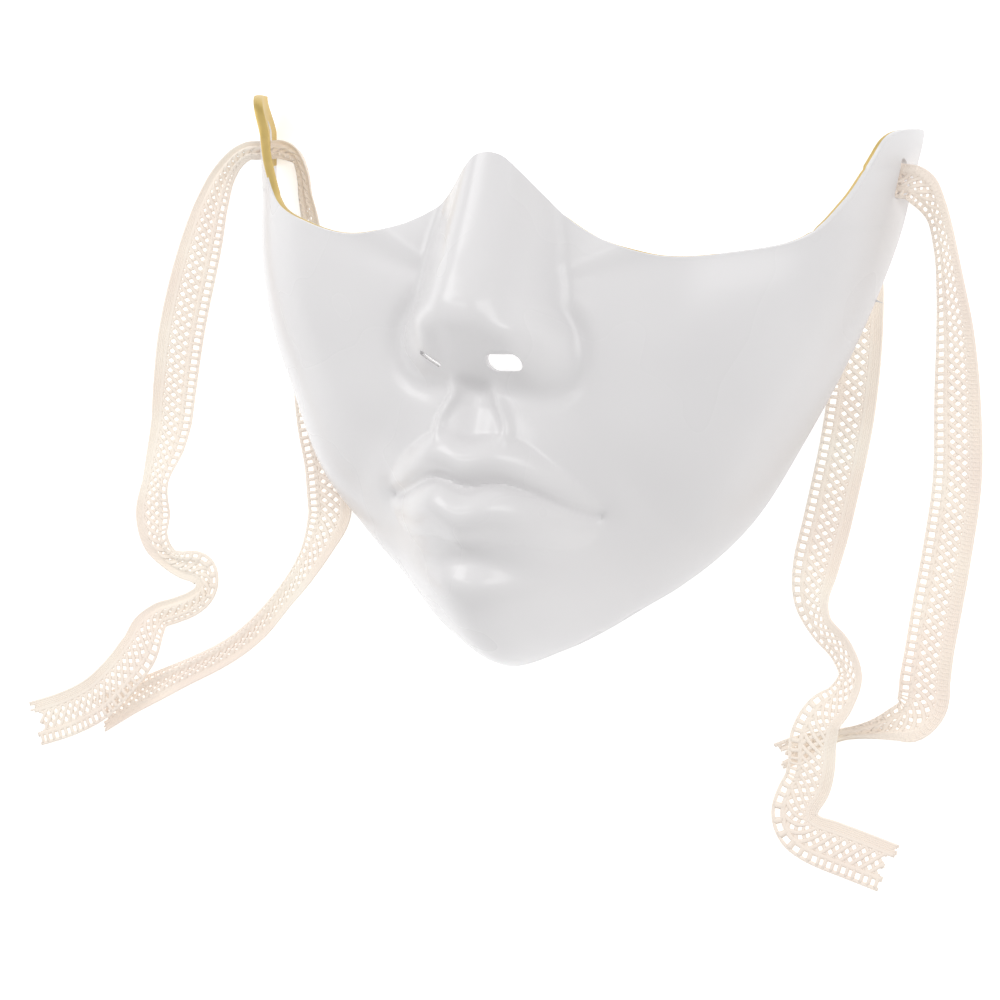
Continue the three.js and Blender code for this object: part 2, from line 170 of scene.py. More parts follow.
def dome(x, y):
    """The plain mould: FRONT high in the middle and falling to the rim's height, as one minus the reach (0 in
    the middle, 1 at the rim) to a power that grows towards the chin and the tabs, all to DOME_ROUND."""
    down = DOME_CENTRE - y
    angle = np.arctan2(x, down)
    reach = np.clip(np.hypot(x, down) / rim_radius(angle), 0, 1)
    power = DOME_POWER + sum(extra * gauss((angle - at) / spread) for at, extra, spread in DOME_BLUNTER)
    rise = np.where(rim_height(angle) < FLAT, 0, rim_height(angle))
    return reach, rise + (FRONT - rise) * (1 - reach ** power) ** DOME_ROUND


def bell(t):
    """Half a cosine wave: 1 at 0 and 0 from 1 outwards."""
    return 0.5 * (1 + np.cos(pi * np.clip(np.abs(t), 0, 1)))


def mound(x, up, height, place, size, fullness):
    """A bump of bell section at a place on the face, or a hollow where its height is negative. A fullness
    over 1 flattens its top and steepens its foot."""
    away = np.hypot((x - place[0]) / size[0], (up - place[1]) / size[1])
    return height * gauss(away ** fullness)


# Mounds and hollows: height, place across and up the face, half width and half length, fullness
NOSE_WING = (3.8, (13.5, 9.5), (6.2, 6.6), 1.6)
MOUTH_CORNER = (-1.5, (25.5, -25.2), (4, 3.6), 1)
CHIN_FOLD = (-3, (0, -39), (17, 4.2), 1)
CHIN_KNOB = (2.6, (0, -47), (14, 7.5), 1.6)
MUZZLE = (3.2, (0, -20), (30, 20), 1)
CHEEK_HOLLOW = (-4, (34, -24), (18, 17), 1)

# The nose's ridge: its height and half width against the place up the face
nose_height = curve(
    [-4, 0, 3, 8, 13, 17, 22, 30, 40, 52, 70],
    [0, 1, 5, 11.5, 17, 18.2, 17.2, 14.5, 12.2, 11, 11],
)
nose_half = curve([-4, 4, 12, 22, 33, 42, 52, 70], [13, 19, 21, 19.5, 17.5, 15.5, 14, 13])
RIDGE_FULLNESS = 1.3  # over 1 the ridge's back is broader
CREASE_DEPTH = 1.1
CREASE_PLACE = (12, 9)
CREASE_RADIUS = 10.2
CREASE_STRETCH = 1.15  # the crease is an oval, this much longer up the face than across
CREASE_WIDTH = 2.6
CREASE_INNER = (6, 14)  # where it fades in from the middle
CREASE_FOOT = (-6, 2)  # where it fades in from below
CREASE_TOP = (14, 24)  # where it fades out above


def nose(x, up):
    """A ridge of bell section along the middle, a rounded wing over each nostril and the crease round it."""
    ridge = nose_height(up) * bell((x / nose_half(up)) ** RIDGE_FULLNESS)
    oval = np.hypot(x - CREASE_PLACE[0], (up - CREASE_PLACE[1]) / CREASE_STRETCH)
    crease = CREASE_DEPTH * gauss((oval - CREASE_RADIUS) / CREASE_WIDTH)
    part = smooth(*CREASE_INNER, x) * smooth(*CREASE_FOOT, up) * (1 - smooth(*CREASE_TOP, up))
    return ridge + mound(x, up, *NOSE_WING) - crease * part


GROOVE_DEPTH = 1.3
GROOVE_HALF = 3.2
GROOVE_FOOT = (-13.5, -9.5)  # where it fades in from below
GROOVE_TOP = (-1, 3)  # where it fades out above
GROOVE_RIDGE = 1.5  # height and half width of the ridge on either side
RIDGE_SPREAD = 8.2  # of the ridges from the middle, at the lip
RIDGE_CLOSING = 3.4  # how much nearer they are at the nose
CLOSING_RUN = (-9, 0)


def philtrum(x, up):
    """The groove from nose to lip, between two ridges that spread downwards."""
    spread = RIDGE_SPREAD - RIDGE_CLOSING * smooth(*CLOSING_RUN, up)
    ridge = GROOVE_RIDGE * gauss((x - spread) / GROOVE_RIDGE)
    length = smooth(*GROOVE_FOOT, up) * (1 - smooth(*GROOVE_TOP, up))
    return length * (ridge - GROOVE_DEPTH * gauss(x / GROOVE_HALF))


MOUTH_HALF = 26.5
MOUTH_LINE = -20.6  # place of the line between the lips, up the face
MOUTH_DIP = 1.6  # how much lower it is in the middle
DIP_HALF = 4.2
MOUTH_DROOP = 4.6  # how far it falls towards the corners
DROOP_RUN = (7, 25.5)
MOUTH_DEPTH = 1.1
MOUTH_WIDTH = 1.3
MOUTH_ROUND = 0.7  # radius that rounds the bottom of the line
MOUTH_FADE = 0.3  # how full the lips are where the line is at its full depth
UPPER_LIP = 10.5
LOWER_LIP = 13.0
LEAST_LIP = 0.3
UPPER_ROLL = 3.4
LOWER_ROLL = 4.2
UPPER_SLANT = 0.25  # how much lower the upper lip's roll is at its top


def lips(x, up, fine):
    """Two rounded rolls, half sine waves in section, that meet in a bow-shaped line and end in tucked
    corners."""
    line = MOUTH_LINE - MOUTH_DIP * gauss(x / DIP_HALF) - MOUTH_DROOP * smooth(*DROOP_RUN, x)
    fullness = np.sqrt(np.clip(1 - (x / MOUTH_HALF) ** 2, 0, 1))
    above = up - line
    apart = np.hypot(above, MOUTH_ROUND) - MOUTH_ROUND
    upper = np.clip(np.where(above > 0, apart, 0) / (UPPER_LIP * fullness + LEAST_LIP), 0, 1)
    lower = np.clip(np.where(above < 0, apart, 0) / (LOWER_LIP * fullness + LEAST_LIP), 0, 1)
    upper_roll = UPPER_ROLL * np.sin(pi * upper) * (1 - UPPER_SLANT * upper)
    lower_roll = LOWER_ROLL * np.sin(pi * lower)
    groove = MOUTH_DEPTH * gauss(above / MOUTH_WIDTH) * smooth(0, MOUTH_FADE, fullness) if fine else 0
    return fullness ** 2 * (upper_roll + lower_roll) - groove + mound(x, up, *MOUTH_CORNER)


def face_height(x, y, fine=True):
    """Height of the mask's surface over the table. The shell's inside has no fine lines."""
    side = np.abs(x)
    up = y - NOSE_BASE
    reach, plain = dome(side, y)
    relief = nose(side, up) + lips(side, up, fine)
    relief = relief + sum(mound(side, up, *shape) for shape in (CHIN_FOLD, CHIN_KNOB, MUZZLE, CHEEK_HOLLOW))
    if fine:
        relief = relief + philtrum(side, up)
    return plain + relief * (1 - reach ** FEATURE_FADE)


# Mask shell: grid, holes and cut edge
# The surface is a grid that follows the rim below and the trimmed edge above. The nostrils are cut straight
# down and the slots square to the tabs; every cut edge is slightly rounded and joins the inner surface.
COLUMNS = 250
ROWS = 168
COLUMN_CROWD = 0.08  # how much the columns crowd at the nose and at the tabs
ROW_CROWD = 0.035  # how much the rows crowd at the nose and mouth
ROW_POWER = 1.12  # over 1 the rows crowd at the jaw
EDGE_BULGE = 0.25  # how far a cut edge is rounded outwards
EDGE_RINGS = 3
SHARP = radians(40)  # greater breaks between faces stay sharp
BROAD_GOLD = -70.0  # beyond this, on the left tab, the lacquer covers the whole edge
THIN_GOLD = 50.0  # beyond this, on the right tab, it is only a line along the inner arris
GOLD_RINGS = (0, 2, 1)  # first golden strip of the edge, from outside: left tab, right tab, between them
INNER_GOLD = 66.0  # beyond this it also covers a band of the tabs' inside, along the upper edge
INNER_ROWS = 52  # rows of the grid in that band
NOSTRILS = {
    1: {"across": 8.2, "up": 5.8, "length": 8.0, "width": 3.5, "turn": 0.1},
    -1: {"across": 10.0, "up": 5.2, "length": 5.4, "width": 1.0, "turn": 0.54},
}
NOSE_FLOOR = (9.0, 5.5)  # middle of the part under the nose where the wall is measured straight down
NOSE_FLOOR_REACH = 7.0
NOSE_FLOOR_SLOPE = 0.55  # least upright part of the normal that its wall makes up for
SLOT = {"up": 57.2, "height": 6.2, "length": 9.0, "width": 2.4}
SLOT_BETWEEN = (70.0, 82.0)  # how far out the slot lies at least and at most
SLOT_HALVINGS = 40
SLOT_STEP = 0.5  # over which the tab's slope is taken
SLOT_NEAR = 12.0  # points further than this from the slot are simply FAR from it
FAR = 99.0
TINY = 1e-9  # keeps a division from failing at zero

edge_knots = np.concatenate([[0], np.cumsum(np.linalg.norm(np.diff(UPPER_EDGE, axis=0), axis=1))])
upper_x = curve(edge_knots, UPPER_EDGE[:, 0])
upper_y = curve(edge_knots, UPPER_EDGE[:, 1] + NOSE_BASE)


def rim_point(angle):
    """Place on the rim, seen from above, at an angle from the chin."""
    return np.stack([rim_radius(angle) * np.sin(angle), DOME_CENTRE - rim_radius(angle) * np.cos(angle)])


def plan(u, v):
    """Place seen from above: a patch between the rim (v = 0), the upper edge (v = 1) and the tabs' back edges
    (u = -1 and 1), its inside the sum of the two blends less their common straight part."""
    side = np.abs(u)
    jaw_angle, tab_angle = rim_angles[BACK_EDGE], rim_angles[-1]
    low = rim_point(side * jaw_angle)
    high = np.stack([upper_x(side * edge_knots[-1]), upper_y(side * edge_knots[-1])])
    back = rim_point(jaw_angle + (tab_angle - jaw_angle) * v)
    ends = [rim_point(np.full_like(v, angle)) for angle in (jaw_angle, tab_angle)]
    x, y = (1 - v) * low + v * high + side * (back - (1 - v) * ends[0] - v * ends[1])
    return np.sign(u) * x, y


def slot_place():
    """Where the tab's wall passes the slot's height, found by halving, and the wall's normal there."""
    y = SLOT["up"] + NOSE_BASE
    low, high = SLOT_BETWEEN
    for _ in range(SLOT_HALVINGS):
        middle = (low + high) / 2
        low, high = (middle, high) if face_height(middle, y) > SLOT["height"] else (low, middle)
    slope_x = (face_height(low + SLOT_STEP, y) - face_height(low - SLOT_STEP, y)) / (2 * SLOT_STEP)
    slope_y = (face_height(low, y + SLOT_STEP) - face_height(low, y - SLOT_STEP)) / (2 * SLOT_STEP)
    normal = np.array([-slope_x, -slope_y, 1])
    return np.array([low, y, SLOT["height"]]), normal / np.linalg.norm(normal)


slot_centre, slot_normal = slot_place()
slot_along = np.array([0, 1, 0]) - slot_normal[1] * slot_normal
slot_along /= np.linalg.norm(slot_along)
slot_across = np.cross(slot_normal, slot_along)


def round_ended(a, b, size):
    """Distance of (a, b) from a round-ended hole's outline, negative inside, and the nearest point on it."""
    half = (size["length"] - size["width"]) / 2
    nearest = np.clip(a, -half, half)
    away = np.maximum(np.hypot(a - nearest, b), TINY)
    reach = size["width"] / 2
    return away - reach, nearest + (a - nearest) / away * reach, b / away * reach


def nostril_hole(x, y, side):
    """Distance from a nostril's outline, seen from above, and the nearest point on it."""
    size = NOSTRILS[side]
    turn = side * size["turn"]
    middle_x, middle_y = side * size["across"], size["up"] + NOSE_BASE
    dx, dy = x - middle_x, y - middle_y
    distance, a, b = round_ended(dx * cos(turn) + dy * sin(turn), dy * cos(turn) - dx * sin(turn), size)
    return distance, (middle_x + a * cos(turn) - b * sin(turn), middle_y + a * sin(turn) + b * cos(turn))


def slot_hole(x, y, side):
    """Distance from a slot's outline in the tab's own plane, and the nearest point on it seen from above."""
    offset = np.stack([side * x, y, face_height(x, y)], axis=-1) - slot_centre
    distance, a, b = round_ended(offset @ slot_along, offset @ slot_across, SLOT)
    far = np.hypot(x - side * slot_centre[0], y - slot_centre[1]) > SLOT_NEAR
    place = slot_centre + a[..., None] * slot_along + b[..., None] * slot_across
    return np.where(far, FAR, distance), (side * place[..., 0], place[..., 1])


def grid_normals(points):
    """Normals of a grid of points, from the cross product of its two central differences."""
    normal = np.cross(np.gradient(points, axis=1), np.gradient(points, axis=0))
    return normal / np.linalg.norm(normal, axis=-1, keepdims=True)


def shell_mesh():
    """Outer grid, inner grid one wall below it along the normals, and rings of points round every cut edge
    between them, with half an ellipse as the edge's section. Also says which faces are gold."""
    s = np.linspace(-1, 1, COLUMNS + 1)
    r = np.linspace(0, 1, ROWS + 1)
    u, v = np.meshgrid(s - COLUMN_CROWD * np.sin(2 * pi * s), r ** ROW_POWER + ROW_CROWD * np.sin(2 * pi * r))
    x, y = plan(u, v)

    number = np.arange(x.size).reshape(x.shape)
    quads = np.stack([number[:-1, :-1], number[:-1, 1:], number[1:, 1:], number[1:, :-1]], axis=-1)
    quads = quads.reshape(-1, 4)

    # Holes: the faces inside go, and the corners that they leave move on to the outline
    kept = np.ones(len(quads), dtype=bool)
    for hole in (nostril_hole, slot_hole):
        for side in (-1, 1):
            mid_x, mid_y = x.ravel()[quads].mean(axis=1), y.ravel()[quads].mean(axis=1)
            inside = hole(mid_x, mid_y, side)[0] < 0
            corner = np.intersect1d(quads[inside], quads[kept & ~inside])
            _, (edge_x, edge_y) = hole(x.ravel()[corner], y.ravel()[corner], side)
            x.ravel()[corner], y.ravel()[corner] = edge_x, edge_y
            kept &= ~inside
    quads = quads[kept]

    # The wall: along the normal, level at the rim, and straight down under the nose
    outer = np.stack([x, y, face_height(x, y)], axis=-1)
    soft = np.stack([x, y, face_height(x, y, fine=False)], axis=-1)
    normal = grid_normals(soft)
    rim = np.zeros(x.shape, dtype=bool)
    rim[0], rim[:, 0], rim[:, -1] = True, True, True
    normal[rim, 2] = 0
    normal /= np.linalg.norm(normal, axis=-1, keepdims=True)
    away = np.hypot(np.abs(x) - NOSE_FLOOR[0], y - NOSE_FLOOR[1] - NOSE_BASE)
    upright = gauss(away / NOSE_FLOOR_REACH)[..., None]
    plumb = np.array([0, 0, 1]) / np.clip(normal[..., 2:], NOSE_FLOOR_SLOPE, 1)
    wall = WALL + TAB_EXTRA * smooth(*TAB_RUN, np.abs(x))[..., None]
    inner = soft - wall * ((1 - upright) * normal + upright * plumb)

    # Cut edges: the sides of faces that have no neighbour, and rings of points that bulge away from them
    outer, inner = outer.reshape(-1, 3), inner.reshape(-1, 3)
    normal = grid_normals(np.stack([x, y, face_height(x, y)], axis=-1)).reshape(-1, 3)
    edges = np.concatenate([quads[:, [k, (k + 1) % 4]] for k in range(4)])
    codes = edges[:, 0] * len(outer) + edges[:, 1]
    border = edges[~np.isin(codes, edges[:, 1] * len(outer) + edges[:, 0])]
    outward = np.zeros_like(outer)
    away = np.cross(outer[border[:, 1]] - outer[border[:, 0]], normal[border[:, 0]])
    away /= np.maximum(np.linalg.norm(away, axis=1, keepdims=True), TINY)
    np.add.at(outward, border[:, 0], away)
    np.add.at(outward, border[:, 1], away)
    corner = np.unique(border)
    outward = outward[corner] / np.linalg.norm(outward[corner], axis=1, keepdims=True)
    middle = (outer[corner] + inner[corner]) / 2
    half = (outer[corner] - inner[corner]) / 2
    angles = pi * np.arange(1, EDGE_RINGS + 1) / (EDGE_RINGS + 1)
    rings = [middle + cos(a) * half + sin(a) * EDGE_BULGE * outward for a in angles]
    ring_number = np.full(len(outer), -1)
    ring_number[corner] = np.arange(len(corner))
    levels = [border] + [ring_number[border] + 2 * len(outer) + k * len(corner) for k in range(EDGE_RINGS)]
    levels.append(border + len(outer))
    strips = [np.stack([a[:, 1], a[:, 0], b[:, 0], b[:, 1]], axis=1) for a, b in zip(levels, levels[1:])]
    points = np.concatenate([outer, inner, *rings])
    points[:, 2] = np.maximum(points[:, 2], 0)
    faces = np.concatenate([quads, quads[:, ::-1] + len(outer), *strips])

    # Gold: strips of the upper edge, and a band behind it on the tabs
    on_top = (border >= ROWS * (COLUMNS + 1)).all(axis=1)
    across = outer[border[:, 0], 0]
    first = np.select([across < BROAD_GOLD, across > THIN_GOLD], GOLD_RINGS[:2], GOLD_RINGS[2])
    lacquered = np.concatenate([on_top & (level >= first) for level in range(len(strips))])
    top_across = np.abs(x[-1])[quads[:, 0] % (COLUMNS + 1)]
    behind = (quads[:, 2] >= (ROWS - INNER_ROWS) * (COLUMNS + 1)) & (top_across > INNER_GOLD)
    gold = np.concatenate([np.zeros(len(quads), dtype=bool), behind, lacquered])
    used, faces = np.unique(faces, return_inverse=True)
    return points[used], faces.reshape(-1, 4), gold


def shell_piece():
    """The mask as one object, its faces smooth apart from the sharp arrises."""
    points, faces, gold = shell_mesh()
    mesh = bpy.data.meshes.new("mask")
    mesh.from_pydata((points * MM).tolist(), [], faces.tolist())
    mesh.polygons.foreach_set("material_index", gold.astype(np.int32))
    mesh.polygons.foreach_set("use_smooth", np.ones(len(faces), dtype=bool))
    mesh.set_sharp_from_angle(angle=SHARP)
    piece = bpy.data.objects.new("mask", mesh)
    bpy.context.collection.objects.link(piece)
    return piece


class Value:
    """A shader socket that takes part in arithmetic: each operation adds its Math node."""

    def __init__(self, shader, socket):
        self.shader, self.socket = shader, socket

    def math(self, operation, *others):
        return self.shader.node("ShaderNodeMath", {"operation": operation}, dict(enumerate((self, *others))))

    def __add__(self, other):
        return self.math("ADD", other)

    def __mul__(self, other):
        return self.math("MULTIPLY", other)


class Shader:
    """A material under construction, with one method that adds any node."""

    def __init__(self, name):
        self.material = bpy.data.materials.new(name)
        self.material.use_nodes = True
        self.tree = self.material.node_tree
        self.surface = self.tree.nodes["Principled BSDF"]

    def node(self, kind, settings=None, inputs=None, output=0):
        """Adds a node, sets its settings first and then its sockets, and returns one of its outputs."""
        node = self.tree.nodes.new(kind)
        for key, value in (settings or {}).items():
            if key == "stops":
                self.stops(node.color_ramp, value)
            else:
                setattr(node, key, value)
        for key, value in (inputs or {}).items():
            self.feed(node.inputs[key], value)
        return Value(self, node.outputs[output])

    def stops(self, ramp, stops):
        while len(ramp.elements) < len(stops):
            ramp.elements.new(1.0)
        for element, (place, colour) in zip(ramp.elements, stops):
            element.position = place
            element.color = (*colour, 1.0)

    def feed(self, socket, value):
        if isinstance(value, Value):
            self.tree.links.new(value.socket, socket)
        else:
            socket.default_value = value

    def finish(self, **inputs):
        """Feeds the surface's sockets, their names written with underscores, and returns the material."""
        for key, value in inputs.items():
            self.feed(self.surface.inputs[key.replace("_", " ")], value)
        return self.material


def white_plastic():
    """Glossy white plastic: an even colour, the moulding's faint waviness and a few duller patches."""
    shader = Shader("white_plastic")
    place = shader.node("ShaderNodeTexCoord", output="Object")
    cloud = shader.node("ShaderNodeTexNoise", {}, {"Vector": place, "Scale": 28.0, "Detail": 2.0})
    colour = shader.node("ShaderNodeValToRGB", {"stops": [
        (0.25, (0.708, 0.696, 0.702)),
        (0.75, (0.738, 0.727, 0.732)),
    ]}, {"Fac": cloud})
    wave = shader.node("ShaderNodeTexNoise", {}, {"Vector": place, "Scale": 160.0, "Detail": 1.0})
    bump = shader.node("ShaderNodeBump", {}, {"Height": wave, "Strength": 0.06, "Distance": 0.0004})
    return shader.finish(Base_Color=colour, Roughness=cloud * 0.12 + 0.22, Normal=bump,
                         Specular_IOR_Level=0.24, Coat_Weight=0.3, Coat_Roughness=0.22)


def gold_lacquer():
    """Satin gold lacquer, brushed on: streaks in its colour and gloss."""
    shader = Shader("gold_lacquer")
    place = shader.node("ShaderNodeTexCoord", output="Object")
    streak = shader.node("ShaderNodeTexNoise", {}, {"Vector": place, "Scale": 90.0, "Detail": 4.0})
    colour = shader.node("ShaderNodeValToRGB", {"stops": [
        (0.3, (0.52, 0.38, 0.12)),
        (0.7, (0.68, 0.50, 0.19)),
    ]}, {"Fac": streak})
    bump = shader.node("ShaderNodeBump", {}, {"Height": streak, "Strength": 0.15, "Distance": 0.0002})
    return shader.finish(Base_Color=colour, Metallic=0.55, Roughness=streak * 0.2 + 0.36, Normal=bump)


mask = shell_piece()
mask.data.materials.append(white_plastic())
mask.data.materials.append(gold_lacquer())
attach(mask, "root")
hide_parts("mask_shell")


# Lace ribbons
# One length of cream cotton lace goes through the slot in each tab and lies loose with both cut ends free.
# Each is a ladder edge, a lattice of crossing threads and a close-set band, made here from single threads.
RIBBON_WIDTH = 11.5
RIBBON_THICK = 0.8
BUNCHED_THICK = 1.2
RIBBON_LIFT = 0.1  # least gap to the table
SLOT_STOPS = (3.4, 1.2, -0.75, -2.7, -4.5)  # how far out of the tab the points in the slot lie
LEFT_BUNCH = (-2.1, 4.0)  # place along the slot and width of the bunched ribbon
RIGHT_BUNCH = (-0.3, 7.6)
TWIST_START = 5.0  # past the slot's inner side, where the right ribbon turns over
TWIST_LENGTH = 16.0
PLEATS = 2.5  # waves across the ribbon where it is bunched
PLEAT_HEIGHT = 1.0
NEARBY = 0.5  # how far on either side of a point its direction is taken

# Routes from the loose end to the slot (outer) and on from the slot to the other end (inner): across, up the
# face from the nose's base, height of the lower side, tilt in degrees, width
RIGHT_OUTER = (
    (65.5, -75.6, 0.1, 0, 6),
    (70, -73, 0.1, 0, 5.4),
    (75, -70.4, 0.1, 0, 3.6),
    (79.7, -68.5, 0.1, 0, 2.2),
    (83.3, -67.4, 0.1, 5, 2.6),
    (87.8, -66, 0.1, 10, 4.4),
    (91.5, -64.6, 0.1, 14, 7.2),
    (95.2, -62.9, 0.1, 12, 10.6),
    (97.2, -59.4, 0.1, 2, RIBBON_WIDTH),
    (97.3, -53.6, 0.1, 2, RIBBON_WIDTH),
    (97.7, -47, 0.1, 8, RIBBON_WIDTH),
    (98.2, -38.4, 0.1, 5, RIBBON_WIDTH),
    (99.2, -24.8, 0.1, 7, RIBBON_WIDTH),
    (99.7, -8.6, 0.1, 9, RIBBON_WIDTH),
    (97.9, 9.2, 0.1, 16, RIBBON_WIDTH),
    (96.1, 23.4, 0.1, 32, RIBBON_WIDTH),
    (94.5, 32, 0.1, 44, RIBBON_WIDTH),
    (91.5, 44, 0.1, 52, 10),
    (88.6, 51.4, 1.2, 46, 8.4),
)
RIGHT_INNER = (
    (73.4, 52.4, 1.6, -6, 8),
    (71.6, 46.5, 0.5, 0, 9),
    (71.6, 39.5, 0.1, 0, 10.5),
    (72.4, 31, 0.1, 0, RIBBON_WIDTH),
    (73.3, 20, 0.1, 0, RIBBON_WIDTH),
    (73.5, 10.8, 0.1, 0, RIBBON_WIDTH),
    (73.3, 2.5, 0.1, 0, RIBBON_WIDTH),
    (72.7, -5.8, 0.1, -2, RIBBON_WIDTH),
    (71.8, -14, 0.1, -3, RIBBON_WIDTH),
    (70.8, -22.4, 0.1, -4, RIBBON_WIDTH),
    (69.7, -30.8, 0.1, -10, RIBBON_WIDTH),
    (70, -38.6, 0.1, -30, RIBBON_WIDTH),
    (73, -44.4, 0.1, -48, RIBBON_WIDTH),
    (78.4, -49.4, 0.1, -50, RIBBON_WIDTH),
    (81.2, -54.8, 0.1, -50, RIBBON_WIDTH),
    (79.4, -60.4, 0.4, -42, RIBBON_WIDTH),
    (75.6, -65.2, 1.8, -22, RIBBON_WIDTH),
    (74, -70.6, 2.4, -8, RIBBON_WIDTH),
    (74, -76.6, 1.4, -8, RIBBON_WIDTH),
    (73.2, -80.6, 0.6, -6, RIBBON_WIDTH),
    (71.4, -84.4, 0.2, -4, 11),
    (70.8, -87.8, 0.1, -4, 11),
    (72.2, -90.8, 0.1, -4, 11),
    (75.2, -92.6, 0.1, -4, 11),
    (79.4, -93.6, 0.1, -2, RIBBON_WIDTH),
    (85, -94.8, 0.1, 0, RIBBON_WIDTH),
    (94.4, -96.9, 0.1, 0, RIBBON_WIDTH),
)
LEFT_OUTER = (
    (-130.2, -94, 0.1, 0, RIBBON_WIDTH),
    (-120.5, -90, 0.8, 0, RIBBON_WIDTH),
    (-111.2, -84.6, 2.6, 2, RIBBON_WIDTH),
    (-105, -78, 3, 6, RIBBON_WIDTH),
    (-101, -71.4, 2.4, 6, RIBBON_WIDTH),
    (-99.6, -65.8, 0.9, 10, 10),
    (-97.4, -62.4, 0.1, 10, 6.6),
    (-93.2, -60.5, 0.1, 10, 6),
    (-88.5, -58.2, 0.1, 14, 6),
    (-85.6, -55.6, 0.1, 18, 6),
    (-84.9, -52.7, 0.1, 18, 7),
    (-86.2, -50.2, 0.1, 14, 8.2),
    (-88.7, -49.2, 0.1, 14, 8),
    (-92.2, -49.1, 0.1, 20, 6.8),
    (-96, -48, 0.1, 24, 5.6),
    (-100.4, -43.6, 0.1, 20, 9),
    (-102, -37.6, 0.1, 14, RIBBON_WIDTH),
    (-101.6, -28.6, 0.1, 28, RIBBON_WIDTH),
    (-100.7, -19.4, 0.1, 8, RIBBON_WIDTH),
    (-100.2, -5, 0.1, -8, RIBBON_WIDTH),
    (-99.4, 9.5, 0.1, -18, RIBBON_WIDTH),
    (-97, 31.4, 0.1, -12, 10.6),
    (-95.8, 40.6, 0.2, -4, 8.8),
    (-93.1, 48.4, 0.9, 0, 6.4),
)
LEFT_INNER = (
    (-72.2, 54.4, 2, -30, 4.2),
    (-70.6, 50.4, 0.8, -22, 4.4),
    (-69.4, 45, 0.3, -20, 5),
    (-67.2, 38.6, 0.1, -24, 7),
    (-65, 26, 0.1, -20, RIBBON_WIDTH),
    (-63.4, 12, 0.1, 0, RIBBON_WIDTH),
    (-61.8, 0, 0.1, 0, RIBBON_WIDTH),
    (-59.6, -10, 0.1, 0, RIBBON_WIDTH),
    (-56.6, -19, 0.1, 0, RIBBON_WIDTH),
    (-54.4, -27, 0.1, 4, RIBBON_WIDTH),
    (-53.8, -33.4, 0.1, -3, RIBBON_WIDTH),
    (-54.8, -39.6, 0.1, -24, RIBBON_WIDTH),
    (-57.7, -46.2, 0.1, -30, 10),
    (-62.6, -53.2, 0.1, -22, 7.4),
    (-68.9, -61.6, 0.1, -16, 7),
    (-74.4, -66.9, 0.1, -14, 6.6),
    (-80.1, -71, 0.1, -14, 6.6),
    (-88.4, -75.8, 0.1, -12, 6.8),
    (-94.5, -79.3, 0.1, -10, 7.4),
    (-103.3, -84.2, 0.1, -4, 8),
    (-111.5, -89.4, 0.1, 0, 8.8),
)


class Ribbon:
    """A band along a route. Its own coordinates are t along it, s across it and n out of its face. A point of
    the band is the route's centre plus s times the across direction plus n times the facing direction."""

    def __init__(self, outer, inner, side, bunch, slot, turns_over):
        slot_centre, slot_normal, slot_along = slot
        before, behind = (
            [(x, up + NOSE_BASE, low, radians(tilt), wide, RIBBON_THICK) for x, up, low, tilt, wide in route]
            for route in (outer, inner)
        )
        inside = []
        for stop in SLOT_STOPS:
            x, y, z = slot_centre + stop * slot_normal + bunch[0] * slot_along
            inside.append((side * x, y, z - BUNCHED_THICK / 2, 0, bunch[1], BUNCHED_THICK))
        rows = np.array(before + inside + behind)
        steps = np.linalg.norm(np.diff(rows[:, :3], axis=0), axis=1)
        knots = np.concatenate([[0], np.cumsum(steps)])
        self.length = knots[-1]
        self.twist_start = knots[len(outer) + len(SLOT_STOPS) // 2] + TWIST_START
        self.turns_over = turns_over
        columns = [curve(knots, column) for column in rows.T]
        self.x, self.y, self.lift, self.lean, self.width, self.thick = columns

    def twist(self, t):
        """Half a turn over TWIST_LENGTH behind the slot, for the ribbon that turns over."""
        return self.turns_over * pi * smooth(self.twist_start, self.twist_start + TWIST_LENGTH, t)

    def centre(self, t):
        """The route's middle line, lifted by half the height that the tilted band takes up."""
        rise = (self.width(t) * np.abs(np.sin(self.lean(t) + self.twist(t))) + self.thick(t)) / 2
        return np.stack([self.x(t), self.y(t), np.maximum(self.lift(t), RIBBON_LIFT) + rise], axis=-1)

    def frame(self, t):
        """Centre, across and facing at t. Across is level and square to the route, then tilted and turned."""
        ahead = self.centre(np.minimum(t + NEARBY, self.length)) - self.centre(np.maximum(t - NEARBY, 0))
        ahead /= np.linalg.norm(ahead, axis=-1, keepdims=True)
        level = np.stack([ahead[..., 1], -ahead[..., 0], np.zeros_like(t)], axis=-1)
        level /= np.linalg.norm(level, axis=-1, keepdims=True)
        lean = (self.lean(t) + self.twist(t))[..., None]
        across = level * np.cos(lean) + np.array([0, 0, 1]) * np.sin(lean)
        facing = np.cross(ahead, across)
        facing /= np.linalg.norm(facing, axis=-1, keepdims=True)
        return self.centre(t), across, facing

    def points(self, t, s, n):
        """Places in space of the band's own coordinates. A bunched part is narrower and pleated by a sine."""
        centre, across, facing = self.frame(t)
        narrowing = self.width(t) / RIBBON_WIDTH
        pleat = PLEAT_HEIGHT * (1 - np.minimum(narrowing, 1)) * np.sin(2 * pi * PLEATS * s / RIBBON_WIDTH)
        return centre + across * (s * narrowing)[..., None] + facing * (n + pleat)[..., None]


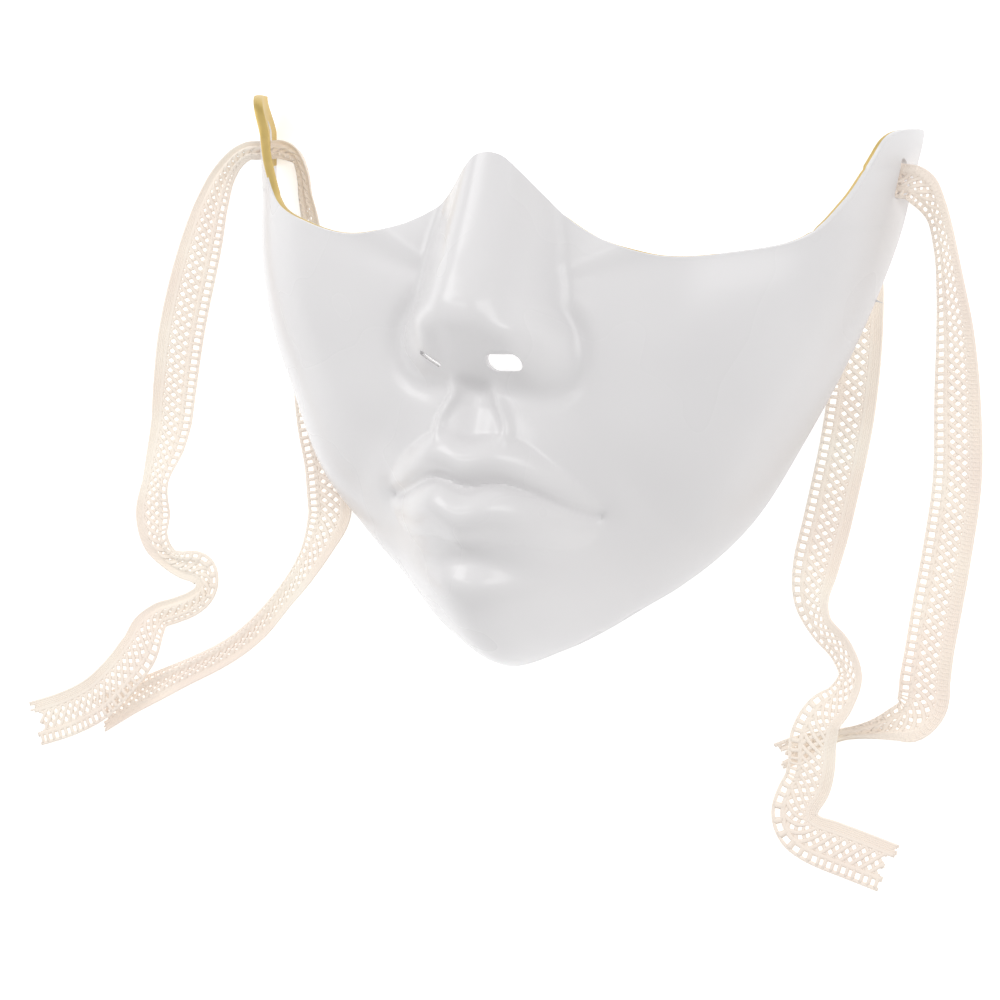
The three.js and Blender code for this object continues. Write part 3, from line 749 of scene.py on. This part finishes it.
def thread(ribbon, t, s, n, radius, flatness, sides):
    """Closed tube round a path given in a ribbon's coordinates. Its section is an ellipse, radius wide in the
    ribbon's plane, also where the ribbon is bunched, and flatness times radius thick. Returns ring points as
    (t, s, n) rows and the faces."""
    path = np.stack([t, s], axis=1)
    heading = np.gradient(path, axis=0)
    heading /= np.linalg.norm(heading, axis=1, keepdims=True)
    beside = np.stack([-heading[:, 1], heading[:, 0]], axis=1)
    angle = 2 * pi * np.arange(sides) / sides
    radius = np.broadcast_to(radius, t.shape)[:, None]
    ring_t = t[:, None] + radius * beside[:, :1] * np.cos(angle)
    bunching = np.maximum(RIBBON_WIDTH / ribbon.width(t), 1)[:, None]
    ring_s = s[:, None] + radius * beside[:, 1:] * np.cos(angle) * bunching
    ring_n = n[:, None] + flatness * radius * np.sin(angle)
    rows = np.stack([ring_t.ravel(), ring_s.ravel(), ring_n.ravel()], axis=1)
    first = np.arange(len(t) - 1)[:, None] * sides + np.arange(sides)
    following = np.arange(len(t) - 1)[:, None] * sides + (np.arange(sides) + 1) % sides
    quads = np.stack([first, first + sides, following + sides, following], axis=-1).reshape(-1, 4)
    caps = [tuple(range(sides)), tuple(range((len(t) - 1) * sides + sides - 1, (len(t) - 1) * sides - 1, -1))]
    return rows, quads, caps


# Lace pattern across the ribbon, from the ladder edge to the close-set edge
LADDER_EDGE = 5.45
LADDER_RAIL = 2.95
LATTICE_RAIL = -3.1
BAND_EDGE = -5.4
CORDS = (  # place across the ribbon, radius, flatness
    (LADDER_EDGE, 0.46, 0.6),
    (LADDER_RAIL, 0.64, 0.45),
    (LATTICE_RAIL, 0.5, 0.5),
    (BAND_EDGE, 0.36, 0.8),
    (-3.55, 0.28, 0.8),
    (-4.0, 0.28, 0.8),
    (-4.45, 0.28, 0.8),
    (-4.9, 0.28, 0.8),
)
CORD_STEP = 0.72
CORD_SIDES = 6
FRAY = (-0.3, 1.5)  # how far a cord's cut ends stand back from the ribbon's
STITCH_PITCH = 0.9  # of the stitches that hold the band together
STITCH_RADIUS = 0.2
STITCH_HEIGHT = 0.12  # over the band's cords
RUNG_PITCH = 1.8
RUNG_RADIUS = 0.48
CROSSING_FLATNESS = 0.8  # of rungs and stitches
CROSSING_SIDES = 5
CROSSING_POINTS = 4
CROSSING_BOW = 0.12  # how far a rung or stitch bows along the ribbon at most
CROSSING_STRAY = 0.05  # how unevenly they are spaced
CROSSING_INSET = 1.4  # from the ribbon's ends
LATTICE_PITCH = 4.8
LATTICE_RADIUS = 0.47
LATTICE_FLATNESS = 0.4
LATTICE_WEAVE = 0.14  # how far a thread passes over or under the next
LATTICE_TURN = 0.985  # under 1 its turns at the rails are rounded
LATTICE_POINTS = 10  # in one pitch
LATTICE_INSET = 2.0
KNOT = 0.2  # how much thicker a thread is where two cross
KNOT_HALF = 0.12  # of the wave's height


def lace_threads(length, seed):
    """All the threads of one ribbon: for each its path (t, s, n), radius, flatness and number of sides."""
    rng = np.random.default_rng(seed)

    def cord(s, radius, flatness):
        """A thread along the whole ribbon at s, its cut ends frayed by chance."""
        start, end, _ = rng.uniform(*FRAY, 3)
        t = np.linspace(start, length - end, int(length / CORD_STEP))
        return t, np.full_like(t, s), np.zeros_like(t), radius, flatness, CORD_SIDES

    def crossings(first, last, pitch, radius, height):
        """Short threads across the ribbon from s = first to s = last at an even pitch."""
        s = np.linspace(first, last, CROSSING_POINTS)
        arc = np.sin(pi * np.arange(CROSSING_POINTS) / (CROSSING_POINTS - 1))
        level = np.full(CROSSING_POINTS, height)
        for t in np.arange(CROSSING_INSET, length - CROSSING_INSET, pitch):
            bow = CROSSING_BOW * arc * rng.uniform(-1, 1)
            yield t + rng.normal(0, CROSSING_STRAY) + bow, s, level, radius, CROSSING_FLATNESS, CROSSING_SIDES

    def zigzag(sign, shift):
        """A lattice thread: a triangle wave between the rails, over at one crossing and under at the next."""
        count = int(length / LATTICE_PITCH * LATTICE_POINTS)
        t = np.linspace(LATTICE_INSET, length - LATTICE_INSET, count)
        middle = (LADDER_RAIL + LATTICE_RAIL) / 2
        reach = (LADDER_RAIL - LATTICE_RAIL) / 2
        phase = pi * (t + shift) / LATTICE_PITCH
        wave = 2 / pi * np.arcsin(LATTICE_TURN * np.sin(phase))
        radius = LATTICE_RADIUS * (1 + KNOT * gauss(wave / KNOT_HALF))
        height = LATTICE_WEAVE * sign * np.cos(phase)
        return t, middle + sign * reach * wave, height, radius, LATTICE_FLATNESS, CORD_SIDES

    threads = [cord(*sizes) for sizes in CORDS]
    threads += crossings(LADDER_EDGE, LADDER_RAIL, RUNG_PITCH, RUNG_RADIUS, 0.0)
    threads += crossings(LATTICE_RAIL, BAND_EDGE, STITCH_PITCH, STITCH_RADIUS, STITCH_HEIGHT)
    threads += [zigzag(sign, shift) for shift in (0.0, LATTICE_PITCH / 2) for sign in (1, -1)]
    return threads


PRESSED = 0.15  # threads lower than this are pressed flat by the table


def lace_mesh(name, ribbon, ladder_side, seed):
    """One mesh of all a ribbon's threads, laid along the ribbon. Its UV map holds the place along and across.
    A ladder_side of -1 turns the band round, so that its ladder edge lies on the other side. Heights below
    PRESSED fall off as an exponential that never reaches the table."""
    rows, faces, start = [], [], 0
    for t, s, n, radius, flatness, sides in lace_threads(ribbon.length, seed):
        ring, quads, caps = thread(ribbon, t, s, n, radius, flatness, sides)
        rows.append(ring)
        faces += (quads + start).tolist()
        faces += [tuple(corner + start for corner in cap) for cap in caps]
        start += len(ring)
    rows = np.concatenate(rows)
    if ladder_side < 0:
        rows[:, 1:] *= -1
    t = np.clip(rows[:, 0], 0, ribbon.length)
    overhang = rows[:, 0] - t
    places = ribbon.points(t, rows[:, 1], rows[:, 2])
    _, across, facing = ribbon.frame(t)
    places += np.cross(across, facing) * overhang[:, None]
    low = np.minimum(places[:, 2], PRESSED)
    places[:, 2] += PRESSED * np.exp(low / PRESSED - 1) - low
    mesh = bpy.data.meshes.new(name)
    mesh.from_pydata((places * MM).tolist(), [], faces)
    layer = mesh.uv_layers.new(name="lace")
    corners = np.empty(len(mesh.loops), dtype=np.int32)
    mesh.loops.foreach_get("vertex_index", corners)
    layer.data.foreach_set("uv", (rows[corners, :2] * MM).astype(np.float32).ravel())
    mesh.polygons.foreach_set("use_smooth", np.ones(len(mesh.polygons), dtype=bool))
    piece = bpy.data.objects.new(name, mesh)
    bpy.context.collection.objects.link(piece)
    return piece


def lace_material():
    """Cream cotton: soft blotches of pinker and paler thread, the ply of the thread as a fine bump, and a
    faint glow in its own colour, which is painted light that brightens its shaded threads.
    """
    shader = Shader("cream_lace")
    place = shader.node("ShaderNodeTexCoord", output="Object")
    along = shader.node("ShaderNodeUVMap", {"uv_map": "lace"})
    blotch = shader.node("ShaderNodeTexNoise", {}, {"Vector": place, "Scale": 45.0, "Detail": 2.0})
    colour = shader.node("ShaderNodeValToRGB", {"stops": [
        (0.30, (0.755, 0.665, 0.595)),
        (0.52, (0.775, 0.695, 0.615)),
        (0.75, (0.795, 0.745, 0.665)),
    ]}, {"Fac": blotch})
    ply = shader.node("ShaderNodeTexWave", {"wave_type": "BANDS", "bands_direction": "DIAGONAL"},
                      {"Vector": along, "Scale": 520.0, "Distortion": 1.2, "Detail": 1.0})
    bump = shader.node("ShaderNodeBump", {}, {"Height": ply, "Strength": 0.35, "Distance": 0.00012})
    # The emission is painted light: the lace glows faintly in its own colour, so its threads in shade read
    # lighter.
    return shader.finish(Base_Color=colour, Roughness=0.88, Sheen_Weight=0.25, Sheen_Roughness=0.5,
                         Normal=bump, Specular_IOR_Level=0.2, Emission_Color=colour, Emission_Strength=0.2)


SEED = 7
cream = lace_material()
slot_frame = (slot_centre, slot_normal, slot_along)
for name, outer, inner, side, bunch, turns_over, ladder_side in (
    ("ribbon_left", LEFT_OUTER, LEFT_INNER, -1, LEFT_BUNCH, 0, 1),
    ("ribbon_right", RIGHT_OUTER, RIGHT_INNER, 1, RIGHT_BUNCH, 1, -1),
):
    ribbon = Ribbon(outer, inner, side, bunch, slot_frame, turns_over)
    lace = lace_mesh(name, ribbon, ladder_side, seed=SEED + side)
    lace.data.materials.append(cream)
    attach(lace, "root")
    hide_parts("lace_" + name)


# Table and light
# A plain white table, bright and even soft light from all round, two large soft lights above, and a narrow
# one that draws a line of light down the ridges of the face.
FLOOR_HALF = 3000.0
FLOOR_GLOW = 0.45
ROUND_LIGHT = 0.62


def floor_piece():
    """A square with its middle under the mask."""
    corners = np.array([(-1, -1, 0), (1, -1, 0), (1, 1, 0), (-1, 1, 0)]) * FLOOR_HALF * MM
    mesh = bpy.data.meshes.new("floor")
    mesh.from_pydata(corners.tolist(), [], [(0, 1, 2, 3)])
    shader = Shader("floor")
    white = (0.93, 0.93, 0.93, 1)
    mesh.materials.append(shader.finish(Base_Color=white, Roughness=0.9, Specular_IOR_Level=0.1,
                                        Emission_Color=white, Emission_Strength=FLOOR_GLOW))
    piece = bpy.data.objects.new("floor", mesh)
    bpy.context.collection.objects.link(piece)
    return piece


def area_light(name, place, size, watts):
    """A rectangular soft light that faces the mask. Its place and size are in millimetres."""
    data = bpy.data.lights.new(name, "AREA")
    data.shape = "RECTANGLE"
    data.size, data.size_y = size[0] * MM, size[1] * MM
    data.energy = watts
    light = bpy.data.objects.new(name, data)
    light.location = Vector(place) * MM
    light.rotation_euler = (-light.location).to_track_quat("-Z", "Y").to_euler()
    bpy.context.collection.objects.link(light)


floor_piece()
area_light("light_left", (-900, 500, 900), (700, 700), 6)
area_light("light_right", (900, 200, 900), (500, 900), 4.5)
area_light("strip_light", (-330, 60, 1000), (60, 600), 0.7)
world = bpy.data.worlds.new("studio")
bpy.context.scene.world = world
world.use_nodes = True
world.node_tree.nodes["Background"].inputs["Color"].default_value = (1, 1, 1, 1)
world.node_tree.nodes["Background"].inputs["Strength"].default_value = ROUND_LIGHT
bpy.context.scene.view_settings.view_transform = "Standard"
